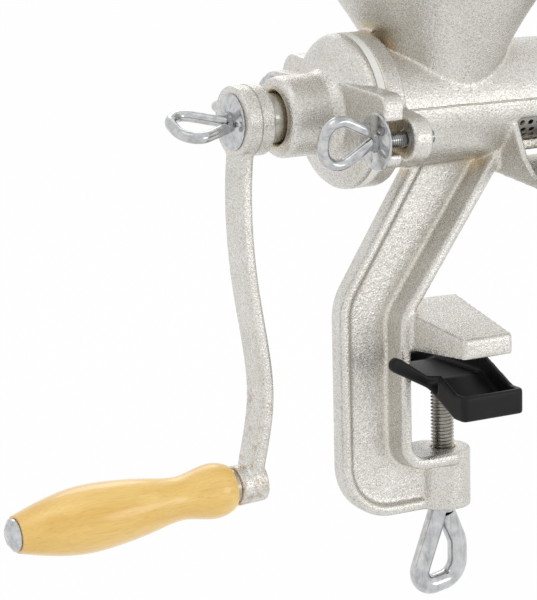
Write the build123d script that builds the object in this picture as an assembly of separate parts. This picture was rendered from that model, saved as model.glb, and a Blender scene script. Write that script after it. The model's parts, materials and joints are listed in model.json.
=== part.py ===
# Clamp-on hand crank screw grinder, millimetres. +Z is up, +X runs from the crank to the outlet and
# -Y is the side of the juice spout. The origin lies on the underside of the upper jaw, on the axis
# of the clamp screw, so the table top is the plane Z = 0.
import os
from math import cos, radians, tan
from build123d import *

os.makedirs("parts", exist_ok=True)

# Fits: sliding and running clearance, and a sealing squeeze
slip = 0.2
run = 0.1
squeeze = 0.05

# Barrel, along X
barrel_z = 100.0
barrel_r = 25.6
barrel_front_r = 22.9
bore_r = 17.8
flange_r = 31.6
flange_x = -44.0
flange_t = 9.0
barrel_end = 94.0

# Crank-side cover with its gasket, seal and thrust washer
gasket_t = 3.2
gasket_w = 10.5
cover_t = 6.3
boss_r = 16.5
boss_len = 31.6
boss_root = 7.0
journal_r = 10.0
mouth_flare = 1.6
spigot_t = 3.0
seal_t = 5.0
seal_w = 3.0
seal_depth = 2.0
washer_t = 2.0

# Ears with the cover screws
ear_t = 8.8
ear_y = 42.5
ear_half = 9.0
slot_half = 6.8
near_ear_half = 14.8
near_ear_end = 47.5
near_ear_round = 5.0
near_ear_tilt = 4.1
near_screw_tilt = 9.5
far_ear_half = 13.5
far_ear_end = 53.0
far_ear_round = 13.4
far_ear_tilt = 0.0
far_screw_tilt = 0.0
far_lug_half = 13.0
far_lug_end = 55.0
far_lug_tilt = 8.0
screw_r = 3.1
screw_tail = 4.0

# Eye screws with their pressed discs
disc_r = 11.5
disc_t = 1.5
disc_edge_t = 0.7
disc_slope = 2.5
neck_r = 4.2
neck_t = 1.5
eye_wire_r = 2.3
eye_reach = 22.0
eye_half = 14.0
eye_bend = 7.4
far_eye_turn = 90.0
crank_eye_turn = 112.0
crank_screw_len = 18.0

# Auger
core_r = 8.0
core_front_r = 10.0
collar_w = 5.0
collar_t = 4.0
flight_gap = 0.5
flight_pitch = 22.0
flight_t = 4.0
flight_clear = 2.0
flight_inset = 6.0
nose_r = 7.0
nose_len = 12.0
tang = 12.0

# Crank
hub_gap = 6.0
hub_r = 14.3
hub_len = 12.7
throw = 148.8
arm_w = 14.5
arm_t = 6.5
arm_round = 2.4
arm_inset = 4.5
arm_bow_out = 2.2
arm_bow_in = 9.5
pin_boss_r = 8.3
pin_boss_len = 12.4
pin_boss_proud = 3.5

# Grip
grip_len = 94.0
grip_end_r = 7.6
grip_belly_r = 13.5
grip_waist_r = 9.0
grip_bead_r = 11.3
grip_neck_r = 9.3
grip_washer_r = 7.2
grip_washer_t = 2.3
pin_r = 4.0
pin_head_r = 6.6
pin_head_t = 3.4
grip_droop = 2.4

# Hopper
hopper_x = 0.0
hopper_wall = 4.0
hopper_h = 66.0
hopper_mouth_r = 56.0
hopper_waist_r = 28.6
hopper_waist_h = 22.4
hopper_foot_r = 20.0
hopper_lip_r = 2.6

# Juice window, strainer and spout
spout_x = 21.0
spout_w = 48.0
spout_wall = 3.5
spout_reach = 50.0
spout_drop = 34.0
spout_lip_h = 4.0
spout_fall = 4.5
spout_shoulder = 22.5
spout_slope_y = 7.0
spout_slope_z = 14.0
window_drop = 7.0
strainer_t = 0.8
hole_r = 1.25
hole_step = 4.2
hole_turn = 13.0

# Leg and C-frame, seen from the side
web_half = 2.2
bead_half = 4.6
bead_t = 5.0
rib_half = 14.0
rib_t = 5.3
cast_round = 1.8
leg_left = -51.7
leg_right = -23.2
leg_top_left = -9.4
leg_top_right = 30.2
leg_sink = 14.0
knee_left_z = 21.3
knee_right_z = 12.4
knee_left_r = 25.0
knee_right_r = 12.0
foot_left_r = 24.0
foot_right_r = 7.0
frame_bottom = -72.8
arm_top = -47.0
clamp_boss_r = 11.8

# Upper jaw
jaw_half = 42.0
jaw_left = -16.0
jaw_right = 7.8
jaw_end_t = 8.2
jaw_mid_t = 18.0
jaw_round = 1.5

# Clamp screw, swivel and shoe
clamp_r = 5.0
clamp_eye_r = 4.2
clamp_eye_drop = 36.5
clamp_eye_left = 15.6
clamp_eye_right = 7.0
clamp_eye_rise = 3.8
clamp_eye_bend = 6.0
clamp_eye_curve = 9.0
clamp_eye_back = 12.0
clamp_eye_back_drop = 17.2
clamp_eye_tip = 1.2
clamp_eye_tip_drop = 3.7
swivel_t = 2.5
swivel_r = 9.0
shoe_wall = 2.5
shoe_floor = 2.6
shoe_h = 10.6
shoe_mid = -15.5
shoe_end = -25.0
shoe_half = 45.5
shoe_flat = 17.0
shoe_tip = 7.5
shoe_left = -19.0
shoe_right = 10.8
shoe_round = 2.0
tongue_t = 4.3
tongue_h = 7.6
tongue_root_h = 5.2
tongue_root = 7.0
tongue_reach = 17.5
tongue_rise = 9.5
tongue_gap = 1.2

# Outlet nozzle and ring nut
nozzle_t = 3.0
nozzle_len = 20.0
nozzle_bore_r = 14.0
nozzle_tip_r = 9.0
nozzle_wall = 2.5
nut_wall = 6.7
nut_grip = 14.0
nut_face_t = 4.0
lug_w = 12.0
lug_h = 5.5

# Places that follow from the sizes above
cover_x1 = flange_x - gasket_t
cover_x0 = cover_x1 - cover_t
seat_x = cover_x1 - ear_t
boss_end = cover_x1 - boss_len
spigot_end = flange_x + spigot_t
seal_r = journal_r + seal_w
seal_x = spigot_end - seal_t - seal_depth
collar_r = journal_r + collar_w
shoulder = spigot_end + washer_t
flight_start = shoulder + collar_t + flight_clear
flight_end = barrel_end - flight_inset
strainer_r = bore_r + slip + strainer_t
hub_in = boss_end - hub_gap
hub_end = hub_in - hub_len
handle_z = barrel_z - throw
pin_boss_x = hub_end - pin_boss_proud
pin_boss_end = pin_boss_x + pin_boss_len
grip_x1 = pin_boss_x - grip_washer_t - slip
grip_x0 = grip_x1 - grip_len
hopper_top = barrel_z + hopper_h
spout_floor = barrel_z - spout_drop
window_x0 = spout_x + spout_wall
window_w = spout_w - 2 * spout_wall
leg_top = barrel_z - leg_sink
swivel_z = shoe_mid - swivel_t
base = (Align.CENTER, Align.CENTER, Align.MIN)


def cyl_x(r, x0, x1, y=0.0, z=barrel_z):
    return Pos(x0, y, z) * Rot(0, 90, 0) * Cylinder(r, x1 - x0, align=base)


def cyl_z(r, z0, z1, x=0.0, y=0.0):
    return Pos(x, y, z0) * Cylinder(r, z1 - z0, align=base)


def tube_x(r_out, r_in, x0, x1, z=barrel_z):
    return cyl_x(r_out, x0, x1, 0, z) - cyl_x(r_in, x0 - 1, x1 + 1, 0, z)


def block(x0, x1, y0, y1, z0, z1):
    return Pos(x0, y0, z0) * Box(x1 - x0, y1 - y0, z1 - z0, align=(Align.MIN, Align.MIN, Align.MIN))


def turned_x(points, z=barrel_z):
    return Pos(0, 0, z) * revolve(make_face(Plane.XZ * Polyline(*points, close=True)), Axis.X)


def prism_x(points, x0, length):
    face = make_face(Plane.YZ * Polyline(*points, close=True))
    return Pos(x0, 0, 0) * extrude(face, length, dir=(1, 0, 0))


def slab_y(face, half):
    return extrude(Plane.XZ * face, half, both=True)


def rounded(points, radii):
    # A polyline wire with an arc of the given radius at each inner point
    edges = []
    last = Vector(*points[0])
    for i, r in enumerate(radii, 1):
        a, b, c = (Vector(*points[j]) for j in (i - 1, i, i + 1))
        u, v = (a - b).normalized(), (c - b).normalized()
        half = radians(90 - u.get_angle(v) / 2)
        p, q = b + u * r * tan(half), b + v * r * tan(half)
        mid = (u + v).normalized()
        edges += [Line(last, p), ThreePointArc(p, b + mid * (r / cos(half) - r), q)]
        last = q
    edges.append(Line(last, Vector(*points[-1])))
    return Wire([e for k in edges for e in k.edges()])


def ring_face(outer, inner):
    ends = [Line(outer @ 1, inner @ 1), Line(inner @ 0, outer @ 0)]
    return make_face([*outer.edges(), ends[0], *inner.edges(), ends[1]])


def swept_rod(path, r):
    return sweep(Plane(path @ 0, z_dir=path % 0) * Circle(r), path)


# Side, screw tilt, then tilt, half width, end and corner of the cover's slotted ear and of the
# body's tapped ear behind it
ears = ((-1, near_screw_tilt, (near_ear_tilt, near_ear_half, near_ear_end, near_ear_round),
         (near_screw_tilt, ear_half, ear_y + ear_half, ear_half - run)),
        (1, far_screw_tilt, (far_ear_tilt, far_ear_half, far_ear_end, far_ear_round),
         (far_lug_tilt, far_lug_half, far_lug_end, ear_half - run)))


def tilted(tilt, x, y=0.0):
    return Pos(0, 0, barrel_z) * Rot(tilt, 0, 0) * Pos(x, y, 0)


def ear(side, shape, x0, x1):
    # A flat arm from the barrel axis with rounded outer corners
    tilt, half, end, corner = shape
    arm = Pos(0, side * end / 2, 0) * Box(x1 - x0, end, 2 * half)
    corners = arm.edges().filter_by(Axis.X).sort_by(Axis.Y)
    arm = fillet(corners[-2:] if side > 0 else corners[:2], corner)
    return tilted(tilt, (x0 + x1) / 2) * arm


def drooped(shape):
    # Turns a piece made on a level handle axis down with the slanted crank pin
    return Pos(pin_boss_x, 0, handle_z) * Rot(0, -grip_droop, 0) * Pos(-pin_boss_x, 0, -handle_z) * shape


def eye_screw(shank, reach):
    # The disc seat is X = 0, the shank runs to +X and the wire eye to -X
    head = -disc_t - neck_t
    tip_gap = 2 * eye_wire_r + 0.4
    corners = [(0, 0), (reach, -eye_half), (reach, eye_half), (2 * neck_t, tip_gap)]
    loop = swept_rod(rounded(corners, [eye_bend, eye_bend]), eye_wire_r)
    loop = Pos(-disc_t - neck_t / 2, 0, 0) * Rot(90, 0, 0) * Rot(0, 180, 0) * loop
    return cyl_x(screw_r, head, shank, 0, 0) + cyl_x(neck_r, head, -disc_t, 0, 0) + loop


def screw_disc():
    hole = screw_r + slip
    return turned_x([(0, hole), (0, disc_r), (-disc_edge_t, disc_r), (-disc_t, disc_r - disc_slope),
                     (-disc_t, hole)], 0)


def leg_strip(outer, inner, half):
    # A cast strip of the leg with its long edges rounded
    strip = slab_y(ring_face(outer, inner), half)
    long_edges = strip.edges().filter_by(lambda e: abs(abs(e.center().Y) - half) < run)
    keep = long_edges.filter_by(lambda e: e.center().Z < leg_top - 1 and e.center().X < -1)
    return fillet(keep, cast_round)


def leg():
    outer = [(leg_top_left, leg_top), (leg_left, knee_left_z), (leg_left, frame_bottom), (0, frame_bottom)]
    inner = [(leg_top_right, leg_top), (leg_right, knee_right_z), (leg_right, arm_top), (0, arm_top)]
    bead_x, bead_z = leg_left + bead_t, frame_bottom + bead_t
    bead_top = leg_top_left + 1.2 * bead_t
    bead = [(bead_top, leg_top), (bead_x, knee_left_z - 1.3), (bead_x, bead_z), (0, bead_z)]
    rib_x, rib_z = leg_right - rib_t, arm_top - rib_t
    rib_top = leg_top_right - 1.24 * rib_t
    rib = [(rib_top, leg_top), (rib_x, knee_right_z + 1.7), (rib_x, rib_z), (0, rib_z)]
    outer_w = rounded(outer, [knee_left_r, foot_left_r])
    inner_w = rounded(inner, [knee_right_r, foot_right_r])
    bead_w = rounded(bead, [knee_left_r - bead_t, foot_left_r - bead_t])
    rib_w = rounded(rib, [knee_right_r + rib_t, foot_right_r + rib_t])
    shape = slab_y(ring_face(outer_w, inner_w), web_half)
    shape += leg_strip(outer_w, bead_w, bead_half)
    shape += leg_strip(inner_w, rib_w, rib_half)
    shape += cyl_z(clamp_boss_r, frame_bottom, arm_top)
    past_boss = block(0, rib_half, -rib_half - 1, rib_half + 1, arm_top - rib_t - 1, arm_top + 1)
    return shape - (past_boss - cyl_z(clamp_boss_r, frame_bottom, arm_top + 1))


def jaw():
    # A cross bar over the table, thicker at the leg
    root = leg_right - 2
    plan = [(root, -rib_half), (leg_right, -rib_half), (jaw_left, -jaw_half), (jaw_right, -jaw_half)]
    plan += [(x, -y) for x, y in reversed(plan)]
    bar = extrude(make_face(Polyline(*plan, close=True)), jaw_mid_t)
    side = [(-jaw_half, 0), (jaw_half, 0), (jaw_half, jaw_end_t), (0, jaw_mid_t), (-jaw_half, jaw_end_t)]
    bar = bar & prism_x(side, root, jaw_right - root)
    return fillet(bar.edges().filter_by(Axis.Z).group_by(Axis.X)[-1], jaw_round)


def bell(inset, rise):
    # The funnel's outline of revolution, drawn in by the inset for the inside
    foot = hopper_foot_r - inset
    waist = hopper_waist_r - inset
    mouth = hopper_mouth_r - inset
    low, top = barrel_z - hopper_wall, hopper_top + rise
    waist_z = barrel_z + hopper_waist_h
    flare = 0.45 * (hopper_h - hopper_waist_h)
    neck = waist + 0.44 * (mouth - waist)
    curve = Spline((foot, low), (waist, waist_z), (neck, waist_z + flare), (mouth, top))
    rest = Polyline((mouth, top), (0, top), (0, low), (foot, low))
    face = make_face(Plane.XZ * Wire([*curve.edges(), *rest.edges()]))
    return Pos(hopper_x, 0, 0) * revolve(face, Axis.Z)


def spout_outline(lift):
    # Underside or floor of the spout, from the barrel to the lip
    low = spout_floor + lift
    return [(bore_r / 3, low + spout_fall), (-barrel_r * 0.4, low + spout_fall), (-spout_reach, low)]


def body_casting():
    shell = turned_x([(flange_x, 0), (flange_x, barrel_r), (barrel_end, barrel_front_r), (barrel_end, 0)])
    body = leg() + jaw()
    body += shell + cyl_x(flange_r, flange_x, flange_x + flange_t)
    for side, _, _, lug in ears:
        body += ear(side, lug, flange_x, flange_x + flange_t)
    body += bell(0, 0)
    body += Pos(hopper_x, 0, hopper_top - hopper_lip_r) * Torus(hopper_mouth_r, hopper_lip_r)

    # Spout: a channel under the barrel whose walls fall to an open lip
    under = spout_outline(-1.0)
    foot_y = -spout_reach + 2.8 * spout_lip_h
    top_z = barrel_z - window_drop - 1
    side = under + [(-spout_reach, spout_floor + spout_lip_h - 1), (foot_y, spout_floor + spout_lip_h),
                    (foot_y + 3.5, spout_floor + 1.5 * spout_lip_h),
                    (-spout_shoulder - spout_slope_y, top_z - spout_slope_z), (-spout_shoulder, top_z),
                    (bore_r / 3, top_z)]
    body += prism_x(side, spout_x, spout_w)
    floor = spout_outline(spout_wall - 1)
    past_lip = -spout_reach - 5
    room = floor[:2] + [(past_lip, floor[2][1] - 0.5), (past_lip, barrel_z), (floor[0][0], barrel_z)]
    body -= prism_x(room, window_x0, window_w) - shell
    window = block(window_x0, window_x0 + window_w, -spout_reach, -2, spout_floor, barrel_z - window_drop)
    body -= window & shell

    # Bores
    body -= cyl_x(bore_r, flange_x - 1, barrel_end + 1)
    body -= cyl_x(strainer_r + slip, spout_x, barrel_end + 1)
    body -= bell(hopper_wall, 0.1)
    body -= cyl_z(clamp_r + run, frame_bottom - 1, arm_top + 1)
    for side, screw_tilt, _, _ in ears:
        tapped = cyl_x(screw_r + run, flange_x - 1, flange_x + flange_t + 1, 0, 0)
        body -= tilted(screw_tilt, 0, side * ear_y) * tapped
    return body


def rear_cover():
    step = (flange_r - boss_r) / 3
    cover = turned_x([(boss_end, 0), (boss_end, boss_r - 3), (boss_end + 0.9, boss_r - 0.9),
                      (boss_end + 3, boss_r), (cover_x0 - boss_root, boss_r),
                      (cover_x0 - 0.5 * boss_root, boss_r + 0.2 * boss_root),
                      (cover_x0 - 0.15 * boss_root, boss_r + step), (cover_x0 + 0.6, flange_r - 4.5),
                      (cover_x0 + 2.2, flange_r - 1.6), (cover_x0 + 4.5, flange_r), (cover_x1, flange_r),
                      (cover_x1, bore_r - slip), (spigot_end, bore_r - slip), (spigot_end, 0)])
    for side, screw_tilt, slotted, _ in ears:
        cover += ear(side, slotted, seat_x, cover_x1)
        slot = Pos(0, side * ear_half, 0) * Box(ear_t + 2, 2 * ear_half, 2 * slot_half)
        slot += Rot(0, 90, 0) * Cylinder(slot_half, ear_t + 2)
        cover -= tilted((slotted[0] + screw_tilt) / 2, seat_x + ear_t / 2, side * ear_y) * slot
    cover -= cyl_x(journal_r + run, boss_end - 1, spigot_end + 1)
    cover -= turned_x([(boss_end - 0.1, 0), (boss_end - 0.1, journal_r + mouth_flare),
                       (boss_end + 1.6 * mouth_flare, journal_r), (boss_end + 1.6 * mouth_flare, 0)])
    return cover - cyl_x(seal_r, seal_x, spigot_end + 1)


def auger():
    shape = cyl_x(journal_r, hub_in, shoulder + 1) + cyl_x(collar_r, shoulder, shoulder + collar_t)
    nose = flight_end + nose_len
    shape += turned_x([(shoulder, 0), (shoulder, core_r), (flight_end, core_front_r), (nose, nose_r),
                       (nose, 0)])
    shape += Pos((hub_end + 1 + hub_in) / 2, 0, barrel_z) * Box(hub_len - 1, tang, tang)
    depth = bore_r - flight_gap - core_r
    sink = 1.5
    helix = Edge.make_helix(flight_pitch, flight_end - flight_start, core_r)
    blade = Plane(helix @ 0, x_dir=(1, 0, 0), z_dir=helix % 0)
    profile = blade * Pos((depth - sink) / 2, 0) * Rectangle(depth + sink, flight_t)
    flight = sweep(profile, Wire([helix]), is_frenet=True)
    shape += Pos(flight_start, 0, barrel_z) * Rot(0, 90, 0) * flight
    return shape - cyl_x(screw_r + run, hub_end, hub_end + crank_screw_len + 6)


def crank_arm():
    # Hub, bowed arm and pin boss
    arm = cyl_x(hub_r, hub_end, hub_in) + drooped(cyl_x(pin_boss_r, pin_boss_x, pin_boss_end, 0, handle_z))
    bow = ((0.04, arm_inset), (0.25, arm_bow_out), (0.48, 0.52 * arm_bow_in), (0.667, 0.96 * arm_bow_in),
           (0.77, 1.02 * arm_bow_in), (0.923, 0.6 * arm_bow_in), (0.993, pin_boss_proud))
    path = Spline(*[(hub_end + x, 0, barrel_z - share * throw) for share, x in bow])
    section = Plane(path @ 0, x_dir=(0, 1, 0), z_dir=path % 0)
    arm += sweep(section * RectangleRounded(arm_w, arm_t, arm_round), path)
    arm -= Pos((hub_end + hub_in) / 2, 0, barrel_z) * Box(hub_len + 2, tang + slip, tang + slip)
    return arm - drooped(cyl_x(pin_r, pin_boss_x - 1, pin_boss_end + 1, 0, handle_z))


def grip():
    shares = ((0, grip_end_r), (0.12, 0.8 * grip_belly_r), (0.29, grip_belly_r), (0.44, 0.97 * grip_belly_r),
              (0.64, 1.16 * grip_waist_r), (0.77, grip_waist_r), (0.925, grip_bead_r), (1, grip_neck_r))
    curve = Spline(*[(grip_x0 + share * grip_len, r) for share, r in shares])
    lines = Polyline((grip_x1, grip_neck_r), (grip_x1, 0), (grip_x0, 0), (grip_x0, grip_end_r))
    turned = revolve(make_face(Plane.XZ * Wire([*curve.edges(), *lines.edges()])), Axis.X)
    return drooped(Pos(0, 0, handle_z) * turned - cyl_x(pin_r + slip, grip_x0 - 1, grip_x1 + 1, 0, handle_z))


def grip_pin():
    head = grip_x0 - slip
    pin = cyl_x(pin_r, head - 1, pin_boss_end, 0, handle_z)
    pin += turned_x([(head, 0), (head, pin_head_r), (head - 0.4 * pin_head_t, pin_head_r),
                     (head - 0.88 * pin_head_t, 0.64 * pin_head_r), (head - pin_head_t, 0)], handle_z)
    return drooped(pin)


def clamp_screw():
    # The wire leaves the shank, turns round the drop of the eye and closes on the shank again
    low = frame_bottom - clamp_eye_drop
    corners = [(-1, frame_bottom + 1.8), (-clamp_eye_left, low), (clamp_eye_right, low + clamp_eye_rise),
               (clamp_eye_right, frame_bottom - clamp_eye_back_drop),
               (clamp_eye_tip, frame_bottom - clamp_eye_tip_drop)]
    path = rounded(corners, [clamp_eye_bend, clamp_eye_curve, clamp_eye_back])
    loop = Rot(90, 0, 0) * swept_rod(path, clamp_eye_r)
    above = 2 * clamp_boss_r
    loop -= block(-above, above, -above, above, frame_bottom - slip, 0)
    return cyl_z(clamp_r, frame_bottom - 2.6, swivel_z) + loop


def jaw_shoe():
    # An arched tray, its left wall cut open, with two tongues that straddle the rib of the leg
    bend = shoe_half - shoe_tip
    arch = [(-shoe_half, shoe_end), (-bend, shoe_end), (-shoe_flat, shoe_mid)]
    arch += [(-y, z) for y, z in reversed(arch)]
    tray = arch + [(y, z + shoe_h) for y, z in reversed(arch)]
    width = shoe_right - shoe_left
    shoe = prism_x(tray, shoe_left, width)
    inner = [(y, z + shoe_floor) for y, z in arch]
    inner[0] = (shoe_wall - shoe_half, inner[0][1])
    inner[-1] = (shoe_half - shoe_wall, inner[-1][1])
    clear = shoe_mid + 3 * shoe_h
    inner += [(inner[-1][0], clear), (inner[0][0], clear)]
    shoe -= prism_x(inner, shoe_left + shoe_wall, width - 2 * shoe_wall)
    gate = [(-1.5 * shoe_flat, shoe_mid - 1.5), (-shoe_flat, shoe_mid + shoe_floor)]
    gate += [(-y, z) for y, z in reversed(gate)]
    gate += [(1.5 * shoe_flat, clear), (-1.5 * shoe_flat, clear)]
    shoe -= prism_x(gate, shoe_left - 1, shoe_wall + 2)
    shoe = fillet(shoe.edges().filter_by(Axis.Z).group_by(Axis.Y)[0], shoe_round)
    tip = shoe_left - tongue_reach
    root = shoe_left + tongue_root
    tip_z = shoe_mid + tongue_rise
    outline = Polyline((root, shoe_mid), (shoe_left, shoe_mid), (tip, tip_z), (tip, tip_z + tongue_h),
                       (shoe_left, shoe_mid + tongue_root_h), (root, shoe_mid + 0.8 * tongue_root_h),
                       close=True)
    tongue = extrude(make_face(Plane.XZ * outline), tongue_t, dir=(0, 1, 0))
    tongue = fillet(tongue.edges().filter_by(Axis.Y).group_by(Axis.X)[0], 0.4 * tongue_h)
    for y in (-rib_half - tongue_gap - tongue_t, rib_half + tongue_gap):
        shoe += Pos(0, y, 0) * tongue
    return shoe


def strainer():
    # A sheet sleeve in the barrel, perforated over the juice window
    sleeve = tube_x(strainer_r, strainer_r - strainer_t, spout_x + slip, barrel_end)
    rows, lines = 6, int((window_w - 4) / hole_step)
    holes = []
    for i in range(lines):
        for j in range(rows):
            x = window_x0 + 4 + hole_step * (i + (j % 2) / 2)
            turn = Pos(x, 0, barrel_z) * Rot(108 + hole_turn * j, 0, 0)
            holes.append(turn * Pos(0, 0, strainer_r) * Cylinder(hole_r, 6 * strainer_t))
    return sleeve - holes


def outlet_nozzle():
    face = barrel_end + nozzle_t
    tip = barrel_end + nozzle_len
    rim = barrel_front_r - slip
    return turned_x([(barrel_end, nozzle_bore_r), (barrel_end, rim), (face, rim), (face, nozzle_bore_r + 2),
                     (tip, nozzle_tip_r + nozzle_wall), (tip, nozzle_tip_r)])


def outlet_ring():
    x0 = barrel_end - nut_grip
    x1 = barrel_end + nozzle_t + nut_face_t
    bore = barrel_front_r + 2 * slip
    nut = tube_x(bore + nut_wall, bore, x0, barrel_end + nozzle_t)
    nut += tube_x(bore + nut_wall, nozzle_bore_r + 3.5, barrel_end + nozzle_t, x1)
    for k in range(4):
        turn = Pos((x0 + x1) / 2, 0, barrel_z) * Rot(90 * k + 45, 0, 0)
        nut += turn * Pos(0, 0, bore + nut_wall + lug_h / 2 - 2) * Box(x1 - x0, lug_w, lug_h + 4)
    return nut


def export(shape, name):
    export_step(shape, f"parts/{name}.step")


def main():
    export(body_casting(), "body_casting")
    export(rear_cover(), "rear_cover")
    export(tube_x(flange_r, flange_r - gasket_w, cover_x1, flange_x), "cover_gasket")
    export(tube_x(seal_r - squeeze, journal_r + run, seal_x, seal_x + seal_t), "shaft_seal")
    export(tube_x(collar_r, journal_r + run, spigot_end, shoulder), "thrust_washer")
    shank = gasket_t + ear_t + flange_t + screw_tail
    for (side, tilt, _, _), name, turn in zip(ears, ("near", "far"), (0, far_eye_turn)):
        at = tilted(tilt, seat_x, side * ear_y)
        export(at * Rot(turn, 0, 0) * eye_screw(shank, eye_reach), f"{name}_screw")
        export(at * screw_disc(), f"{name}_screw_disc")
    export(auger(), "auger")
    export(crank_arm(), "crank_arm")
    at = Pos(hub_end, 0, barrel_z)
    export(at * Rot(crank_eye_turn, 0, 0) * eye_screw(crank_screw_len, eye_reach + 1.5), "crank_screw")
    export(at * screw_disc(), "crank_screw_disc")
    export(grip(), "grip")
    export(grip_pin(), "grip_pin")
    export(drooped(tube_x(grip_washer_r, pin_r, grip_x1 + slip, pin_boss_x, handle_z)), "grip_washer")
    export(clamp_screw(), "clamp_screw")
    export(cyl_z(swivel_r, swivel_z, shoe_mid), "clamp_swivel")
    export(jaw_shoe(), "jaw_shoe")
    export(strainer(), "strainer")
    export(outlet_nozzle(), "outlet_nozzle")
    export(outlet_ring(), "outlet_ring")


main()
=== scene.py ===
import json
from math import cos, exp, pi, radians, sin
import bmesh
import bpy
from mathutils import Matrix, Vector


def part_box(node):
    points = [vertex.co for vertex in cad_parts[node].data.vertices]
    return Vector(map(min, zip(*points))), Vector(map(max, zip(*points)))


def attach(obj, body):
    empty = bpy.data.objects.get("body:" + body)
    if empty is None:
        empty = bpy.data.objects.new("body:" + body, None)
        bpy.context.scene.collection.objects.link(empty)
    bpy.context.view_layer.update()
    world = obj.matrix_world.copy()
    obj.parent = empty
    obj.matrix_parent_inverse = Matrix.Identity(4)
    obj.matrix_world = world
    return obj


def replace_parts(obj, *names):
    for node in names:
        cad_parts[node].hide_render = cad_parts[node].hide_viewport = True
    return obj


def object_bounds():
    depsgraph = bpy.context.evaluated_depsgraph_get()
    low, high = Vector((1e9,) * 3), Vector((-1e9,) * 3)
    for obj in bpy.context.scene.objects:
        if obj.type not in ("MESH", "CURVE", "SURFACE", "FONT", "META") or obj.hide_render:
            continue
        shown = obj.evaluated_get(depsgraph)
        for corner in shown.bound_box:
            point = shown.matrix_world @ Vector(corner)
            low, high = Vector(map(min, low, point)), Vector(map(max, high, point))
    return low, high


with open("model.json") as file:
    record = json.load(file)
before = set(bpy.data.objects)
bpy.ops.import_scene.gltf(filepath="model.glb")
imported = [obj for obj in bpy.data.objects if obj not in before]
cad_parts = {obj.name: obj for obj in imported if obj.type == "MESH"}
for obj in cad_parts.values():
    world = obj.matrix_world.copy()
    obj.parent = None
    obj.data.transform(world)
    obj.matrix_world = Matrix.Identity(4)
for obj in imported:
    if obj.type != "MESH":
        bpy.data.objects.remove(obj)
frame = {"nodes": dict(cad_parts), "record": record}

cadBox = [list(corner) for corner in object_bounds()]
nodes = frame["nodes"]
bodies = frame["record"]["behaviour"]["bodies"]
bodyOf = {node: body for body, members in bodies.items() for node in members}
slotOf = {part["node"]: part["material_slot"] for part in frame["record"]["subparts"]}
mm = 0.001
weld = 0.002 * mm  # closer points are one point
print("frame loaded:", len(nodes), "nodes")


# node helpers

def newMaterial(name):
    material = bpy.data.materials.new(name)
    material.use_nodes = True
    tree = material.node_tree
    tree.nodes.clear()
    output = tree.nodes.new("ShaderNodeOutputMaterial")
    shader = tree.nodes.new("ShaderNodeBsdfPrincipled")
    tree.links.new(shader.outputs["BSDF"], output.inputs["Surface"])
    place = tree.nodes.new("ShaderNodeTexCoord")
    return material, tree, shader, place.outputs["Object"]


def feed(tree, socket, value):
    if isinstance(value, (float, int)):
        socket.default_value = value
    elif isinstance(value, tuple):
        socket.default_value = (*value, 1.0)
    else:
        tree.links.new(value, socket)


def noise(tree, coords, scale, detail=3.0, rough=0.55, stretch=(1, 1, 1)):
    mapping = tree.nodes.new("ShaderNodeMapping")
    mapping.inputs["Scale"].default_value = stretch
    tree.links.new(coords, mapping.inputs["Vector"])
    texture = tree.nodes.new("ShaderNodeTexNoise")
    texture.inputs["Scale"].default_value = scale
    texture.inputs["Detail"].default_value = detail
    texture.inputs["Roughness"].default_value = rough
    tree.links.new(mapping.outputs["Vector"], texture.inputs["Vector"])
    return texture.outputs["Fac"]


def ramp(tree, value, stops):
    node = tree.nodes.new("ShaderNodeValToRGB")
    band = node.color_ramp
    while len(band.elements) < len(stops):
        band.elements.new(0.5)
    for element, (at, colour) in zip(band.elements, stops):
        element.position = at
        element.color = (*colour, 1.0) if isinstance(colour, tuple) else (colour, colour, colour, 1.0)
    tree.links.new(value, node.inputs["Fac"])
    return node.outputs["Color"]


def mix(tree, kind, factor, first, second):
    node = tree.nodes.new("ShaderNodeMix")
    node.data_type = "RGBA"
    node.blend_type = kind
    for index, value in ((0, factor), (6, first), (7, second)):  # the sockets that a colour mix reads
        feed(tree, node.inputs[index], value)
    return node.outputs[2]


def sums(tree, kind, first, second, third=0.0):
    node = tree.nodes.new("ShaderNodeMath")
    node.operation = kind
    for socket, value in zip(node.inputs, (first, second, third)):
        feed(tree, socket, value)
    return node.outputs[0]


def cavity(tree, reach):
    node = tree.nodes.new("ShaderNodeAmbientOcclusion")
    node.inputs["Distance"].default_value = reach
    node.samples = 6
    return node.outputs["AO"]


def bump(tree, shader, height, strength, distance, under=None):
    node = tree.nodes.new("ShaderNodeBump")
    node.inputs["Strength"].default_value = strength
    node.inputs["Distance"].default_value = distance
    tree.links.new(height, node.inputs["Height"])
    if under:
        tree.links.new(under, node.inputs["Normal"])
    tree.links.new(node.outputs["Normal"], shader.inputs["Normal"])
    return node.outputs["Normal"]


# materials: scales count pattern cells along a metre, ramps give (noise value, result)

castingLook = {
    "patchScale": 55, "patches": [(0.3, (0.655, 0.633, 0.588)), (0.7, (0.745, 0.727, 0.688))],
    "grainScale": 1150, "grainPit": 0.84, "fineScale": 2500, "finePit": 0.78,
    # painted shade in the grain's pits and painted glints on its crests
    "pitAt": 0.32, "crests": [(0.48, 0.97), (0.70, 1.12)],
    "speck": (0.13, 0.115, 0.095), "speckScale": 1700, "specks": [(0.60, 0.0), (0.66, 0.8)],
    "cornerReach": 7 * mm,
    "stain": (0.88, 0.735, 0.50), "stained": [(0.25, 0.75), (0.75, 0.0)],
    # painted shade: near-black colour where the ambient occlusion is deepest
    "paintedGapShade": (0.09, 0.075, 0.055), "paintedGapShadeMask": [(0.03, 0.8), (0.18, 0.0)],
    "rust": (0.34, 0.22, 0.11), "rustScale": 150, "rustFall": -2.4, "rusty": [(0.60, 0.0), (0.76, 0.7)],
    "metal": 0.84, "roughness": [(0.3, 0.34), (0.7, 0.22)],
    "grainBump": (0.6, 0.42 * mm), "fineBump": (0.4, 0.16 * mm),
}


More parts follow.
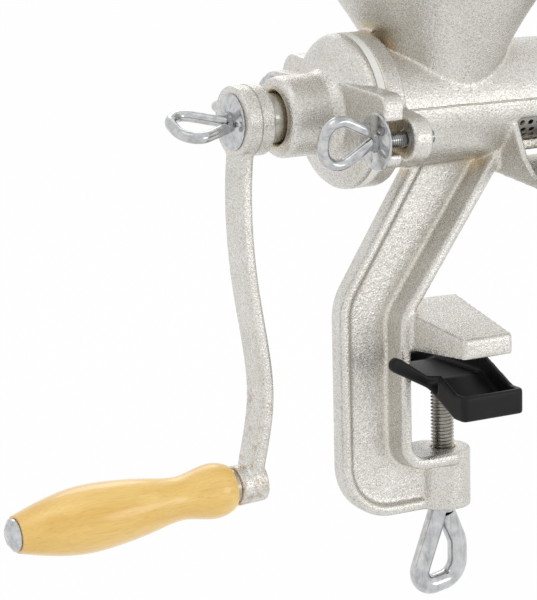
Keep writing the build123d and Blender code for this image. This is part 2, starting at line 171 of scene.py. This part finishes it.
def tinnedCasting(name="tinnedCasting", rust=False):
    look = castingLook
    material, tree, shader, coords = newMaterial(name)
    patches = noise(tree, coords, look["patchScale"], 4)
    grain = noise(tree, coords, look["grainScale"], 2, 0.6)
    fine = noise(tree, coords, look["fineScale"], 2, 0.6)
    colour = ramp(tree, patches, look["patches"])
    for speckle, pit in ((grain, look["grainPit"]), (fine, look["finePit"])):  # painted shade darkens the pits and a painted glint lightens the crests
        shade = ramp(tree, speckle, [(look["pitAt"], pit)] + look["crests"])
        colour = mix(tree, "MULTIPLY", 1.0, colour, shade)
    specks = ramp(tree, noise(tree, coords, look["speckScale"], 3, 0.7), look["specks"])
    colour = mix(tree, "MIX", specks, colour, look["speck"])
    corner = cavity(tree, look["cornerReach"])
    for share, tone in (("stained", "stain"), ("paintedGapShadeMask", "paintedGapShade")):  # painted shade, near black, sits only in the deepest gaps
        colour = mix(tree, "MIX", ramp(tree, corner, look[share]), colour, look[tone])
    if rust:  # brown bloom low on the arm
        parts = tree.nodes.new("ShaderNodeSeparateXYZ")
        tree.links.new(coords, parts.inputs[0])
        blotches = noise(tree, coords, look["rustScale"], 5, 0.7)
        bloom = sums(tree, "MULTIPLY_ADD", parts.outputs["Z"], look["rustFall"], blotches)
        colour = mix(tree, "MIX", ramp(tree, bloom, look["rusty"]), colour, look["rust"])
    tree.links.new(colour, shader.inputs["Base Color"])
    shader.inputs["Metallic"].default_value = look["metal"]
    tree.links.new(ramp(tree, grain, look["roughness"]), shader.inputs["Roughness"])
    coarse = bump(tree, shader, grain, *look["grainBump"])
    bump(tree, shader, fine, *look["fineBump"], coarse)
    return material


zincLook = {
    "cloudScale": 230,
    "cloud": [(0.32, (0.43, 0.44, 0.455)), (0.52, (0.56, 0.565, 0.57)), (0.7, (0.66, 0.66, 0.665))],
    "trackScale": 620, "tracks": [(0.34, 0.80), (0.50, 1.0)],
    # painted shade on the wire's inner sides, by ambient occlusion
    "hollowReach": 12 * mm, "paintedHollowShade": [(0.30, 0.74), (0.70, 1.0)],
    "roughScale": 420, "roughness": [(0.3, 0.10), (0.75, 0.20)],
    "bumpScale": 900, "bump": (0.10, 0.1 * mm),
}


def zincPlate(name="zincPlate", stretch=(0.16, 1, 1)):
    look = zincLook
    material, tree, shader, coords = newMaterial(name)
    # mottled plating tone, partly a painted reflection contrast on the polished wire
    colour = ramp(tree, noise(tree, coords, look["cloudScale"], 5, 0.6), look["cloud"])
    drawn = noise(tree, coords, look["trackScale"], 3, 0.6, stretch)  # the drawing die's tracks on the wire
    colour = mix(tree, "MULTIPLY", 1.0, colour, ramp(tree, drawn, look["tracks"]))
    hollow = cavity(tree, look["hollowReach"])  # painted shade: the wire darkens where it faces into the eye
    colour = mix(tree, "MULTIPLY", 1.0, colour, ramp(tree, hollow, look["paintedHollowShade"]))
    tree.links.new(colour, shader.inputs["Base Color"])
    shader.inputs["Metallic"].default_value = 1.0
    sheen = noise(tree, coords, look["roughScale"], 3)
    tree.links.new(ramp(tree, sheen, look["roughness"]), shader.inputs["Roughness"])
    bump(tree, shader, noise(tree, coords, look["bumpScale"], 2), *look["bump"])
    return material


threadLook = {"scale": 200, "cloud": [(0.3, (0.36, 0.35, 0.31)), (0.7, (0.50, 0.49, 0.45))],
              "roughness": [(0.3, 0.34), (0.7, 0.24)]}


def threadSteel():
    look = threadLook
    material, tree, shader, coords = newMaterial("threadSteel")
    cloud = noise(tree, coords, look["scale"], 4)
    tree.links.new(ramp(tree, cloud, look["cloud"]), shader.inputs["Base Color"])
    shader.inputs["Metallic"].default_value = 1.0
    tree.links.new(ramp(tree, cloud, look["roughness"]), shader.inputs["Roughness"])
    return material


sheetLook = {"scale": 900, "stretch": (0.08, 1, 1), "streaks": [(0.3, 0.48), (0.7, 0.60)],
             "roughness": [(0.3, 0.30), (0.7, 0.42)], "bump": (0.08, 0.1 * mm)}


def satinSheet():
    look = sheetLook
    material, tree, shader, coords = newMaterial("satinSheet")
    streak = noise(tree, coords, look["scale"], 3, 0.6, look["stretch"])
    tree.links.new(ramp(tree, streak, look["streaks"]), shader.inputs["Base Color"])
    shader.inputs["Metallic"].default_value = 1.0
    tree.links.new(ramp(tree, streak, look["roughness"]), shader.inputs["Roughness"])
    bump(tree, shader, streak, *look["bump"])
    return material


gripLook = {
    "pale": (0.91, 0.615, 0.18), "warm": (0.80, 0.48, 0.095), "line": (0.52, 0.28, 0.06),
    "bandScale": 90, "bandStretch": (0.16, 1, 1),
    "fibreScale": 900, "fibreStretch": (0.035, 1, 1), "lines": [(0.58, 0.0), (0.72, 0.38)],
    "poreScale": 1900, "poreStretch": (0.06, 1, 1), "pores": [(0.3, 0.72), (0.6, 1.0)], "poreShare": 0.35,
    "roughness": [(0.3, 0.30), (0.7, 0.42)], "varnish": 0.8, "varnishRoughness": 0.13,
    "bump": (0.12, 0.15 * mm),
}


def varnishedWood():
    look = gripLook
    material, tree, shader, coords = newMaterial("varnishedWood")
    broad = noise(tree, coords, look["bandScale"], 3, 0.5, look["bandStretch"])
    colour = ramp(tree, broad, [(0.32, look["warm"]), (0.55, look["pale"]), (0.75, look["warm"])])
    fibre = noise(tree, coords, look["fibreScale"], 4, 0.65, look["fibreStretch"])
    colour = mix(tree, "MIX", ramp(tree, fibre, look["lines"]), colour, look["line"])
    pores = noise(tree, coords, look["poreScale"], 2, 0.6, look["poreStretch"])
    colour = mix(tree, "MULTIPLY", look["poreShare"], colour, ramp(tree, pores, look["pores"]))
    tree.links.new(colour, shader.inputs["Base Color"])
    tree.links.new(ramp(tree, broad, look["roughness"]), shader.inputs["Roughness"])
    shader.inputs["Coat Weight"].default_value = look["varnish"]
    shader.inputs["Coat Roughness"].default_value = look["varnishRoughness"]
    bump(tree, shader, fibre, *look["bump"])
    return material


mouldedLook = {"cloudScale": 120, "fineScale": 2600, "roughSpread": 0.06, "bump": (0.18, 0.1 * mm)}
shoePlastic = {"pale": (0.012, 0.0117, 0.0117), "deep": (0.008, 0.008, 0.0085), "rough": 0.40, "shine": 0.2}
gasketRubber = {"pale": (0.90, 0.89, 0.85), "deep": (0.82, 0.81, 0.77), "rough": 0.6, "shine": 0.5}
washerNylon = {"pale": (0.78, 0.77, 0.72), "deep": (0.70, 0.69, 0.64), "rough": 0.45, "shine": 0.5}


def moulded(name, tone):
    look = mouldedLook
    material, tree, shader, coords = newMaterial(name)
    cloud = noise(tree, coords, look["cloudScale"], 3)
    colour = ramp(tree, cloud, [(0.3, tone["deep"]), (0.7, tone["pale"])])
    tree.links.new(colour, shader.inputs["Base Color"])
    fine = noise(tree, coords, look["fineScale"], 2)
    roughness = [(0.3, tone["rough"] - look["roughSpread"]), (0.7, tone["rough"] + look["roughSpread"])]
    tree.links.new(ramp(tree, fine, roughness), shader.inputs["Roughness"])
    bump(tree, shader, fine, *look["bump"])
    shader.inputs["Specular IOR Level"].default_value = tone["shine"]
    return material


finish = {
    "tinned_casting": tinnedCasting(),
    "zinc_steel": zincPlate(),
    "steel_thread": threadSteel(),
    "stainless_sheet": satinSheet(),
    "varnished_wood": varnishedWood(),
    "black_plastic": moulded("blackPlastic", shoePlastic),
    "white_rubber": moulded("whiteRubber", gasketRubber),
    "white_nylon": moulded("whiteNylon", washerNylon),
}
rustyCasting = tinnedCasting("tinnedCastingWorn", True)
uprightZinc = zincPlate("zincPlateUpright", (1, 1, 0.16))
for name, node in nodes.items():
    node.data.materials.clear()
    node.data.materials.append(finish[slotOf[name]])
print("materials made:", len(finish) + 2)


# pieces

def addPiece(name, bm, node, material=None, sharp=35.0):
    for edge in bm.edges:
        edge.smooth = len(edge.link_faces) == 2 and edge.calc_face_angle(0.0) < radians(sharp)
    for face in bm.faces:
        face.smooth = True
    mesh = bpy.data.meshes.new(name)
    bm.to_mesh(mesh)
    bm.free()
    mesh.materials.append(material or finish[slotOf[node]])
    piece = bpy.data.objects.new(name, mesh)
    bpy.context.scene.collection.objects.link(piece)
    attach(piece, bodyOf[node])
    return piece


def copyOf(node):
    bm = bmesh.new()
    bm.from_mesh(nodes[node].data)
    bmesh.ops.remove_doubles(bm, verts=bm.verts, dist=weld)
    return bm


def holderFor(bm):
    mesh = bpy.data.meshes.new("skin")
    bm.to_mesh(mesh)
    bm.free()
    holder = bpy.data.objects.new("skin", mesh)
    bpy.context.scene.collection.objects.link(holder)
    return holder


def bakedMesh(holder):
    bpy.context.view_layer.update()
    made = bpy.data.meshes.new_from_object(holder.evaluated_get(bpy.context.evaluated_depsgraph_get()))
    bpy.data.objects.remove(holder)
    bm = bmesh.new()
    bm.from_mesh(made)
    bpy.data.meshes.remove(made)
    return bm


def withoutCrumbs(bm, least):
    # drops the shells of a few faces that a voxel skin leaves in tight corners
    seen, crumbs = set(), []
    for start in bm.faces:
        if start in seen:
            continue
        seen.add(start)
        shell = [start]
        for face in shell:
            fresh = {other for edge in face.edges for other in edge.link_faces} - seen
            seen |= fresh
            shell.extend(fresh)
        if len(shell) < least:
            crumbs.extend(shell)
    loose = {vert for face in crumbs for vert in face.verts}
    bmesh.ops.delete(bm, geom=list(loose), context="VERTS")
    return bm


def softened(bm, voxel, passes, keep):
    # a voxel skin over the solid, relaxed until its edges round off as a casting's do, then thinned
    holder = holderFor(bm)
    skin = holder.modifiers.new("skin", "REMESH")
    skin.mode = "VOXEL"
    skin.voxel_size = voxel
    bm = bakedMesh(holder)
    axes = {"use_axis_x": True, "use_axis_y": True, "use_axis_z": True}
    for _ in range(passes):
        bmesh.ops.smooth_vert(bm, verts=bm.verts, factor=0.5, **axes)
    if keep < 1:
        holder = holderFor(bm)
        thin = holder.modifiers.new("thin", "DECIMATE")
        thin.ratio = keep
        bm = bakedMesh(holder)
    return withoutCrumbs(bm, least=200)


softNodes = {
    "body_casting": {"voxel": 0.85 * mm, "passes": 3, "keep": 0.5},
    "rear_cover": {"voxel": 0.6 * mm, "passes": 4, "keep": 1.0},
    "crank_arm": {"voxel": 0.55 * mm, "passes": 4, "keep": 1.0},
    "outlet_ring": {"voxel": 0.8 * mm, "passes": 3, "keep": 1.0},
    "outlet_nozzle": {"voxel": 0.7 * mm, "passes": 3, "keep": 1.0},
    "jaw_shoe": {"voxel": 0.6 * mm, "passes": 6, "keep": 1.0},
}
for node, form in softNodes.items():
    worn = rustyCasting if node == "crank_arm" else None
    piece = addPiece(node + "_skin", softened(copyOf(node), **form), node, worn, sharp=180.0)
    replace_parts(piece, node)
    print("cast skin:", node, len(piece.data.polygons), "faces")

smoothNodes = ("auger", "cover_gasket", "grip", "grip_pin", "grip_washer", "strainer", "clamp_swivel")
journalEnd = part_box("rear_cover")[1].x
for node in smoothNodes:
    bare = finish["steel_thread"] if node == "grip_washer" else None
    piece = addPiece(node + "_dressed", copyOf(node), node, bare)
    if node == "auger":  # the journal that turns in the cover is bare steel
        piece.data.materials.append(finish["steel_thread"])
        for face in piece.data.polygons:
            face.material_index = int(face.center.x < journalEnd)
    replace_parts(piece, node)
print("smooth pieces:", len(smoothNodes))


def ridge(name, node, points, width, closed=False):
    # the thin raised line that two mould halves leave on a casting
    curve = bpy.data.curves.new(name, "CURVE")
    curve.dimensions = "3D"
    curve.bevel_depth = width
    curve.bevel_resolution = 2
    curve.use_fill_caps = not closed
    line = curve.splines.new("POLY")
    line.points.add(len(points) - 1)
    for point, place in zip(line.points, points):
        point.co = (*place, 1)
    line.use_cyclic_u = closed
    holder = bpy.data.objects.new(name, curve)
    bpy.context.scene.collection.objects.link(holder)
    bm = bakedMesh(holder)
    bpy.data.curves.remove(curve)
    addPiece(name, bm, node, finish["steel_thread"], sharp=60.0)  # painted shade: the darker thread steel makes the line dark


# seams in millimetres: the barrel's line runs along its taper, the hub's is a ring round the axis
sealLow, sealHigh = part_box("shaft_seal")
seamAxisZ = (sealLow.z + sealHigh.z) / 2 / mm  # the seal lies on the barrel's axis
barrelSeam = {"from": -34.5, "to": 79.0, "steps": 40, "radius": 25.41, "endRadius": 23.19, "rise": 3.0,
              "width": 0.42, "wander": [(0.12, 9), (0.08, 31)]}
hubSeam = {"at": -91.0, "radius": 14.1, "steps": 72, "width": 0.42}


def addBarrelSeam():
    form = barrelSeam
    rise = radians(form["rise"])
    route = []
    for step in range(form["steps"] + 1):
        share = step / form["steps"]
        radius = form["radius"] + (form["endRadius"] - form["radius"]) * share
        along = form["from"] + (form["to"] - form["from"]) * share
        wander = sum(height * sin(waves * share) for height, waves in form["wander"])
        route.append(Vector((along, -radius * cos(rise), seamAxisZ + radius * sin(rise) + wander)) * mm)
    ridge("barrel_seam", "body_casting", route, form["width"] * mm)


def addHubSeam():
    form = hubSeam
    ring = []
    for step in range(form["steps"]):
        turn = 2 * pi * step / form["steps"]
        across, up = form["radius"] * cos(turn), form["radius"] * sin(turn)
        ring.append(Vector((form["at"], across, seamAxisZ + up)) * mm)
    ridge("hub_seam", "crank_arm", ring, form["width"] * mm, closed=True)


addBarrelSeam()
addHubSeam()
print("mould seams: 2")


def trimmed(bm, point, normal):
    # cuts away what lies past a plane and closes the cut
    geom = bm.verts[:] + bm.edges[:] + bm.faces[:]
    cut = bmesh.ops.bisect_plane(bm, geom=geom, plane_co=point, plane_no=normal, clear_outer=True, dist=weld)
    rim = [part for part in cut["geom_cut"] if isinstance(part, bmesh.types.BMEdge)]
    bmesh.ops.contextual_create(bm, geom=rim)
    return bm


# one tooth as shares of its pitch, from root to crest and back
tooth = {"crestFrom": 0.36, "crestTo": 0.50, "rootFrom": 0.86, "spareTurns": 3, "weld": 0.02 * mm}


def threadedRod(form, start, length):
    # the tooth's outline spun along the axis, trimmed to length, then turned to its place
    pitch, crest, root, steps = (form[key] for key in ("pitch", "crest", "root", "steps"))
    outline = [(root, 0.0), (crest, tooth["crestFrom"]), (crest, tooth["crestTo"]),
               (root, tooth["rootFrom"]), (root, 1.0)]
    bm = bmesh.new()
    verts = [bm.verts.new((radius, 0, (share - 1) * pitch)) for radius, share in outline]
    edges = [bm.edges.new(pair) for pair in zip(verts, verts[1:])]
    turns = int(length / pitch) + tooth["spareTurns"]
    bmesh.ops.spin(bm, geom=verts + edges, cent=(0, 0, 0), axis=(0, 0, 1), dvec=(0, 0, pitch / steps),
                   angle=2 * pi * turns, steps=steps * turns, use_merge=False, use_duplicate=False)
    bmesh.ops.remove_doubles(bm, verts=bm.verts, dist=tooth["weld"])
    trimmed(bm, (0, 0, 0), (0, 0, -1))
    trimmed(bm, (0, 0, length), (0, 0, 1))
    bmesh.ops.recalc_face_normals(bm, faces=bm.faces)
    turn = Vector((0, 0, 1)).rotation_difference(form["along"]).to_matrix().to_4x4()
    bmesh.ops.transform(bm, matrix=Matrix.Translation(start) @ turn, verts=bm.verts)
    return bm


def joined(first, second):
    mesh = bpy.data.meshes.new("join")
    second.to_mesh(mesh)
    second.free()
    first.from_mesh(mesh)
    bpy.data.meshes.remove(mesh)
    return first


def threadedScrew(node, form, neck, length):
    # the CAD copy's eye down to the neck, and a thread that laps into it in place of the plain shank
    head = trimmed(copyOf(node), neck, form["along"])
    thread = threadedRod(form, neck - form["along"] * form["lap"], length + form["lap"])
    return addPiece(node + "_threaded", joined(head, thread), node)


coverScrew = {"crest": 3.05 * mm, "root": 2.45 * mm, "pitch": 1.0 * mm, "steps": 24, "lap": 0.2 * mm,
              "along": Vector((1, 0, 0))}
for side in ("near", "far", "crank"):
    node = side + "_screw"
    discLow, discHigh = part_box(node + "_disc")
    neck = (discLow + discHigh) / 2
    neck.x = discHigh.x
    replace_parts(threadedScrew(node, coverScrew, neck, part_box(node)[1].x - neck.x), node)

clampThread = {"crest": 4.95 * mm, "root": 4.0 * mm, "pitch": 1.5 * mm, "steps": 32, "lap": 0.2 * mm,
               "along": Vector((0, 0, 1)), "neck": 1.2 * mm}
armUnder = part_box("body_casting")[0].z
neck = Vector((0, 0, armUnder + clampThread["neck"]))
screw = threadedScrew("clamp_screw", clampThread, neck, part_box("clamp_screw")[1].z - neck.z)
screw.data.materials.append(uprightZinc)  # the drawn tracks run up the eye
for face in screw.data.polygons:
    face.material_index = int(face.center.z < neck.z - clampThread["lap"])
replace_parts(screw, "clamp_screw")
print("threaded screws: 4")


# a disc's outline as (radius, height) in millimetres, with pressed radial creases on its front
discForm = {"outline": [(3.3, 1.5), (4.6, 1.48), (6.5, 1.34), (8.6, 1.08), (10.4, 0.80), (11.2, 0.66),
                        (11.5, 0.38), (11.35, 0.06), (11.0, 0.0), (3.3, 0.0)],
            "steps": 144, "longest": 1.2, "cuts": 2, "sharp": 50.0,
            "creases": 5, "depth": 0.34, "width": 0.9, "middle": 6.6, "reach": 3.6, "frontFrom": 0.5}
creaseTurns = {"near_screw_disc": 0.4, "far_screw_disc": 1.0, "crank_screw_disc": 0.9}


def pressCreases(bm, phase):
    form = discForm
    for vert in bm.verts:
        if vert.co.z <= form["frontFrom"] * mm:
            continue
        radius = vert.co.xy.length / mm
        fade = max(0.0, 1 - abs(radius - form["middle"]) / form["reach"])
        for crease in range(form["creases"]):
            turn = phase + 2 * pi * crease / form["creases"]
            across = (vert.co.y * cos(turn) - vert.co.x * sin(turn)) / mm
            along = (vert.co.x * cos(turn) + vert.co.y * sin(turn)) / mm
            if along > 0:
                vert.co.z -= form["depth"] * mm * fade * exp(-(across / form["width"]) ** 2)


def creasedDisc(node, phase):
    form = discForm
    low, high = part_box(node)
    bm = bmesh.new()
    verts = [bm.verts.new((radius * mm, 0, height * mm)) for radius, height in form["outline"]]
    edges = [bm.edges.new(pair) for pair in zip(verts, verts[1:] + verts[:1])]
    bmesh.ops.spin(bm, geom=verts + edges, cent=(0, 0, 0), axis=(0, 0, 1), angle=2 * pi, steps=form["steps"],
                   use_merge=True, use_duplicate=False)
    bmesh.ops.remove_doubles(bm, verts=bm.verts, dist=weld)
    spokes = [edge for edge in bm.edges
              if abs(edge.verts[0].co.xy.length - edge.verts[1].co.xy.length) > form["longest"] * mm]
    bmesh.ops.subdivide_edges(bm, edges=spokes, cuts=form["cuts"], use_grid_fill=True)
    pressCreases(bm, phase)
    bmesh.ops.recalc_face_normals(bm, faces=bm.faces)
    middle = (low + high) / 2
    place = Matrix.Translation((high.x, middle.y, middle.z)) @ Matrix.Rotation(-pi / 2, 4, "Y")
    bmesh.ops.transform(bm, matrix=place, verts=bm.verts)
    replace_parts(addPiece(node + "_pressed", bm, node, sharp=form["sharp"]), node)


for node, phase in creaseTurns.items():
    creasedDisc(node, phase)
print("pressed discs:", len(creaseTurns))


# studio: pale floor, soft lamps and the camera at the viewing angle

studio = {
    "white": 1.0, "sky": [(0.25, 0.78), (0.5, 0.88), (0.85, 0.95)],  # from below to above
    "floorDrop": 28 * mm, "floorSize": 6.0, "floorColour": (0.82, 0.82, 0.82), "floorRoughness": 0.9,
    "floorWhite": 0.96,
    "lampAim": Vector((-0.04, 0, 0.04)),
    "lamps": {"key": {"place": (0.74, -1.2, 0.16), "size": 0.6, "power": 1.8},
              "top": {"place": (-0.4, -0.4, 1.3), "size": 0.7, "power": 0.8},
              "rim": {"place": (0.3, 0.9, 0.8), "size": 0.6, "power": 1.2}},
}


def seenRays(tree):
    # rays that see the backdrop, straight, mirrored or through a piece
    path = tree.nodes.new("ShaderNodeLightPath")
    clear = sums(tree, "MAXIMUM", path.outputs["Is Glossy Ray"], path.outputs["Is Transmission Ray"])
    return sums(tree, "MAXIMUM", path.outputs["Is Camera Ray"], clear)


def blended(tree, share, first, second, output):
    blend = tree.nodes.new("ShaderNodeMixShader")
    for socket, source in zip(blend.inputs, (share, first.outputs[0], second.outputs[0])):
        tree.links.new(source, socket)
    tree.links.new(blend.outputs[0], output.inputs["Surface"])


def makeWorld():
    world = bpy.data.worlds.new("studioWorld")
    bpy.context.scene.world = world
    world.use_nodes = True
    tree = world.node_tree
    tree.nodes.clear()
    output = tree.nodes.new("ShaderNodeOutputWorld")
    lit = tree.nodes.new("ShaderNodeBackground")
    white = tree.nodes.new("ShaderNodeBackground")
    white.inputs["Color"].default_value = (1, 1, 1, 1)
    white.inputs["Strength"].default_value = studio["white"]
    place = tree.nodes.new("ShaderNodeTexCoord")
    parts = tree.nodes.new("ShaderNodeSeparateXYZ")
    tree.links.new(place.outputs["Generated"], parts.inputs["Vector"])
    height = sums(tree, "MULTIPLY_ADD", parts.outputs["Z"], 0.5, 0.5)  # -1 to 1 becomes 0 to 1
    tree.links.new(ramp(tree, height, studio["sky"]), lit.inputs["Color"])
    blended(tree, seenRays(tree), lit, white, output)
    world.cycles.sampling_method = "NONE"


def makeFloor():
    bm = bmesh.new()
    bmesh.ops.create_grid(bm, x_segments=1, y_segments=1, size=studio["floorSize"])
    bmesh.ops.translate(bm, verts=bm.verts, vec=(0, 0, cadBox[0][2] - studio["floorDrop"]))
    mesh = bpy.data.meshes.new("floor")
    bm.to_mesh(mesh)
    bm.free()
    floor = bpy.data.objects.new("floor", mesh)
    bpy.context.scene.collection.objects.link(floor)
    material, tree, shader, _ = newMaterial("paleFloor")
    shader.inputs["Base Color"].default_value = (*studio["floorColour"], 1)
    shader.inputs["Roughness"].default_value = studio["floorRoughness"]
    glow = tree.nodes.new("ShaderNodeEmission")
    glow.inputs["Strength"].default_value = studio["white"]
    output = shader.outputs["BSDF"].links[0].to_node
    blended(tree, sums(tree, "MULTIPLY", seenRays(tree), studio["floorWhite"]), shader, glow, output)
    material.cycles.emission_sampling = "NONE"
    mesh.materials.append(material)


def makeLamps():
    for name, form in studio["lamps"].items():
        light = bpy.data.lights.new(name, "AREA")
        light.shape = "DISK"
        light.size = form["size"]
        light.energy = form["power"]
        lamp = bpy.data.objects.new(name, light)
        lamp.location = form["place"]
        lamp.rotation_euler = (studio["lampAim"] - lamp.location).to_track_quat("-Z", "Y").to_euler()
        bpy.context.scene.collection.objects.link(lamp)


shot = {"azimuth": -28.838, "elevation": 11.755, "roll": -1.419, "aim": Vector((-82.784, 0, 26.309)) * mm,
        "distance": 1.0, "lens": 148.52, "sensor": 36.0, "farthest": 20}


def makeCamera():
    azimuth, elevation, roll = (radians(shot[key]) for key in ("azimuth", "elevation", "roll"))
    back = Vector((sin(azimuth) * cos(elevation), -cos(azimuth) * cos(elevation), sin(elevation)))
    level = Vector((cos(azimuth), sin(azimuth), 0))
    right = cos(roll) * level + sin(roll) * back.cross(level)
    up = back.cross(right)
    data = bpy.data.cameras.new("camera")
    data.lens = shot["lens"]
    data.sensor_width = shot["sensor"]
    data.clip_end = shot["farthest"]
    camera = bpy.data.objects.new("camera", data)
    turn = Matrix((right, up, back)).transposed().to_4x4()
    camera.matrix_world = Matrix.Translation(shot["aim"] + back * shot["distance"]) @ turn
    bpy.context.scene.collection.objects.link(camera)
    bpy.context.scene.camera = camera


makeWorld()
makeFloor()
makeLamps()
makeCamera()
bpy.context.scene.view_settings.view_transform = "Standard"
print("studio ready")
